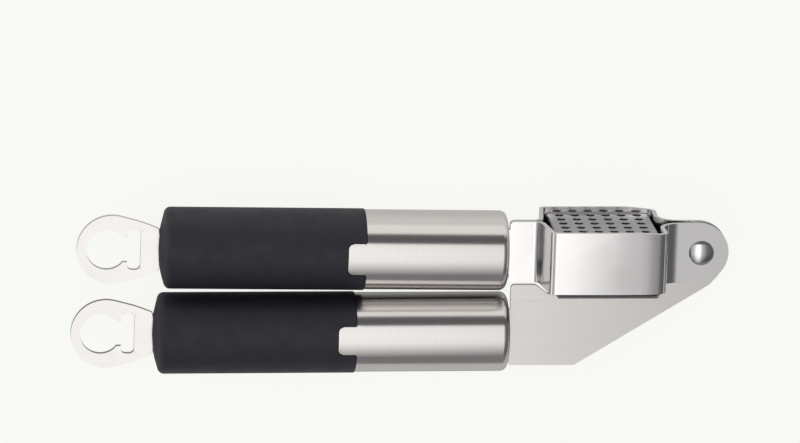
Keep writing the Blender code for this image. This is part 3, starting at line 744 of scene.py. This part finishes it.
for side, body in BODIES.items():
    low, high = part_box(side + "_hanging_loop")
    centre = Vector((low.x + LOOP_HEAD_RADIUS, (low.y + high.y) / 2.0, (low.z + high.z) / 2.0))
    side_x, side_y = LOOP_SIDE
    away = math.hypot(side_x, side_y)
    tangent = math.atan2(side_y, side_x) + math.acos(LOOP_HEAD_RADIUS / away)
    head_arc = arc((0.0, 0.0), LOOP_HEAD_RADIUS, tangent, FULL_TURN - tangent)
    tang_end = high.x - centre.x
    neck = outline([(*head_arc[-1], 0.0), (side_x, -side_y, LOOP_SIDE_RADIUS),
                    (LOOP_REACH, -LOOP_NECK_HALF, LOOP_SHOULDER),
                    (LOOP_REACH, -LOOP_TANG_HALF, 0.0), (tang_end, -LOOP_TANG_HALF, 0.0),
                    (tang_end, LOOP_TANG_HALF, 0.0), (LOOP_REACH, LOOP_TANG_HALF, 0.0),
                    (LOOP_REACH, LOOP_NECK_HALF, LOOP_SHOULDER), (side_x, side_y, LOOP_SIDE_RADIUS),
                    (*head_arc[0], 0.0)])
    mouth = math.asin(EYE_THROAT_HALF / EYE_RADIUS)
    eye = arc((EYE_OFFSET, 0.0), EYE_RADIUS, mouth, FULL_TURN - mouth)
    near, far = EYE_CROSS
    cross = outline([(*eye[-1], 0.0), (near, -EYE_THROAT_HALF, 0.0),
                     (near, -EYE_CROSS_HALF, EYE_CROSS_CORNER), (far, -EYE_CROSS_HALF, EYE_CROSS_CORNER),
                     (far, EYE_CROSS_HALF, EYE_CROSS_CORNER), (near, EYE_CROSS_HALF, EYE_CROSS_CORNER),
                     (near, EYE_THROAT_HALF, 0.0), (*eye[0], 0.0)])
    plate = blank([head_arc[1:-1] + neck, eye[1:-1] + cross], high.z - low.z, LOOP_EDGE)
    bmesh.ops.rotate(plate, cent=(0.0, 0.0, 0.0), matrix=handle_place(side).to_3x3(), verts=plate.verts)
    bmesh.ops.translate(plate, vec=centre, verts=plate.verts)
    made(side + "_loop_polished", plate, loop_finish, body, "loop_steel", side + "_hanging_loop")


# ---- Caps, cores and loop pins --------------------------------------------------------------
# A polished steel disc closes each tube round the sheet metal that it holds. The core tube, of dark
# plastic, and the steel pin through the loop's tang are sealed inside the handle.

core_finish, tree, shader = finish_nodes("handle_core", (0.10, 0.10, 0.10), 0.0, 0.55)
roughened(tree, shader, noise(tree, 300.0, 3.0), 0.48, 0.62)
inside_finishes = {"handle_core": core_finish, "loop_pin": pin_finish, "handle_cap": strap_finish}
for side in BODIES:
    for part, finish in inside_finishes.items():
        node = frame["nodes"][f"{side}_{part}"]
        node.data.materials.clear()
        node.data.materials.append(finish)


# ---- Table, light and camera ----------------------------------------------------------------
# A pale table with a soft light overhead, brightest over the hopper and towards the back, and low soft
# lights behind, in front and on the left. The steel mirrors them, and a panel in the table's place, with a
# painted contact shadow: a darker stripe under the press that only the steel sees.

TABLE_SIZE = 3.0
LENS = 271.0
SENSOR = 36.0
CAMERA_DISTANCE = 1.734
VIEW_MIDDLE = Vector((-0.0878, 0.0088, 0.0))
VIEW_DIRECTION = Vector((-0.115, 0.271, 1.0))

floor_mesh = bmesh.new()
bmesh.ops.create_grid(floor_mesh, x_segments=1, y_segments=1, size=TABLE_SIZE)
mesh = bpy.data.meshes.new("table")
floor_mesh.to_mesh(mesh)
floor_mesh.free()
table = bpy.data.objects.new("table", mesh)
bpy.context.scene.collection.objects.link(table)
table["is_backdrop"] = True
table.visible_glossy = False
table_finish, tree, shader = finish_nodes("pale_table", (0.10, 0.101, 0.097), 0.0, 1.0)
shader.inputs["Specular IOR Level"].default_value = 0.0
shader.inputs["Emission Color"].default_value = (0.93, 0.94, 0.90, 1.0)
shader.inputs["Emission Strength"].default_value = 0.955
mesh.materials.append(table_finish)


def softbox(name, place, turn, half_x, half_y, strength, colour, fade=None):
    """A glowing panel that the camera doesn't see. Fade lists (place, brightness) along X and Y."""
    panel = bmesh.new()
    bmesh.ops.create_grid(panel, x_segments=1, y_segments=1, size=1.0)
    bmesh.ops.scale(panel, vec=(half_x, half_y, 1.0), verts=panel.verts)
    mesh = bpy.data.meshes.new(name)
    panel.to_mesh(mesh)
    panel.free()
    item = bpy.data.objects.new(name, mesh)
    bpy.context.scene.collection.objects.link(item)
    item.location = place
    item.rotation_euler = turn
    item.visible_camera = False
    item.visible_shadow = False
    item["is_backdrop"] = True
    glow = bpy.data.materials.new(name)
    glow.use_nodes = True
    tree = glow.node_tree
    tree.nodes.clear()
    emission = tree.nodes.new("ShaderNodeEmission")
    emission.inputs["Color"].default_value = (*colour, 1.0)
    emission.inputs["Strength"].default_value = strength
    output = tree.nodes.new("ShaderNodeOutputMaterial")
    tree.links.new(emission.outputs["Emission"], output.inputs["Surface"])
    if fade:
        where = tree.nodes.new("ShaderNodeTexCoord")
        split = tree.nodes.new("ShaderNodeSeparateXYZ")
        tree.links.new(where.outputs["Object"], split.inputs["Vector"])
        product = None
        for axis, stops in fade.items():
            curve = tree.nodes.new("ShaderNodeMapRange")
            ramp = tree.nodes.new("ShaderNodeValToRGB")
            half = half_x if axis == "X" else half_y
            curve.inputs["From Min"].default_value = -half
            curve.inputs["From Max"].default_value = half
            tree.links.new(split.outputs[axis], curve.inputs["Value"])
            tree.links.new(curve.outputs["Result"], ramp.inputs["Fac"])
            ramp.color_ramp.interpolation = "LINEAR"
            elements = ramp.color_ramp.elements
            while len(elements) < len(stops):
                elements.new(0.5)
            for element, (at, level) in zip(elements, stops):
                element.position = (at + half) / (2.0 * half)
                element.color = (level, level, level, 1.0)
            if product is None:
                product = ramp.outputs["Color"]
            else:
                times = tree.nodes.new("ShaderNodeMath")
                times.operation = "MULTIPLY"
                tree.links.new(product, times.inputs[0])
                tree.links.new(ramp.outputs["Color"], times.inputs[1])
                product = times.outputs["Value"]
        scale = tree.nodes.new("ShaderNodeMath")
        scale.operation = "MULTIPLY"
        scale.inputs[1].default_value = strength
        tree.links.new(product, scale.inputs[0])
        tree.links.new(scale.outputs["Value"], emission.inputs["Strength"])
    mesh.materials.append(glow)
    return item


facing_down = (0.0, 0.0, 0.0)
on_edge = (math.radians(90), 0.0, 0.0)
on_end = (0.0, math.radians(90), 0.0)
# The table's reflection panel fades darker across Y from -0.030 to 0.006: a painted contact shadow under the
# press, seen in the steel.
reflected = softbox("table_reflection", (0.0, 0.0, -0.0002), facing_down, TABLE_SIZE, TABLE_SIZE, 0.60,
                    (1.0, 0.985, 0.965),
                    {"Y": [(-3.0, 1.0), (-0.048, 1.0), (-0.030, 0.45), (0.006, 0.45), (0.018, 0.95),
                           (0.032, 1.0), (0.055, 1.35), (3.0, 1.35)]})
reflected.visible_diffuse = False
softbox("top_light", (-0.10, -0.3625, 0.62), facing_down, 1.1, 0.7375, 1.45, (1.0, 0.985, 0.975),
        {"X": [(-1.1, 0.25), (-0.20, 0.38), (0.02, 1.0), (0.20, 1.03), (0.225, 0.90), (0.25, 0.47),
               (0.29, 0.45), (0.40, 0.30), (0.60, 0.12), (1.1, 0.08)],
         "Y": [(-0.7375, 0.30), (-0.47, 0.42), (-0.12, 0.66), (0.15, 0.96), (0.38, 1.0), (0.7375, 1.0)]})
softbox("back_light", (0.0, 1.0, 0.29), on_edge, 1.3, 0.29, 1.02, (1.0, 0.98, 0.96))
softbox("front_light", (0.0, -1.12, 0.31), on_edge, 1.3, 0.31, 0.24, (0.98, 0.97, 1.0))
softbox("left_light", (-1.2, 0.0, 0.35), on_end, 0.35, 0.9, 1.0, (1.0, 0.96, 0.91))

world = bpy.data.worlds.new("dim_room")
bpy.context.scene.world = world
world.use_nodes = True
world.node_tree.nodes["Background"].inputs["Color"].default_value = (0.12, 0.12, 0.125, 1.0)

towards_camera = VIEW_DIRECTION.normalized()
right = Vector((1.0, 0.0, 0.0))
right = (right - right.dot(towards_camera) * towards_camera).normalized()
up = towards_camera.cross(right)
camera_data = bpy.data.cameras.new("camera")
camera_data.lens = LENS
camera_data.sensor_width = SENSOR
camera = bpy.data.objects.new("camera", camera_data)
bpy.context.scene.collection.objects.link(camera)
turn = Matrix((right, up, towards_camera)).transposed().to_4x4()
camera.matrix_world = Matrix.Translation(hinge + VIEW_MIDDLE + towards_camera * CAMERA_DISTANCE) @ turn
bpy.context.scene.camera = camera
bpy.context.scene.view_settings.view_transform = "Standard"

low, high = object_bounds()
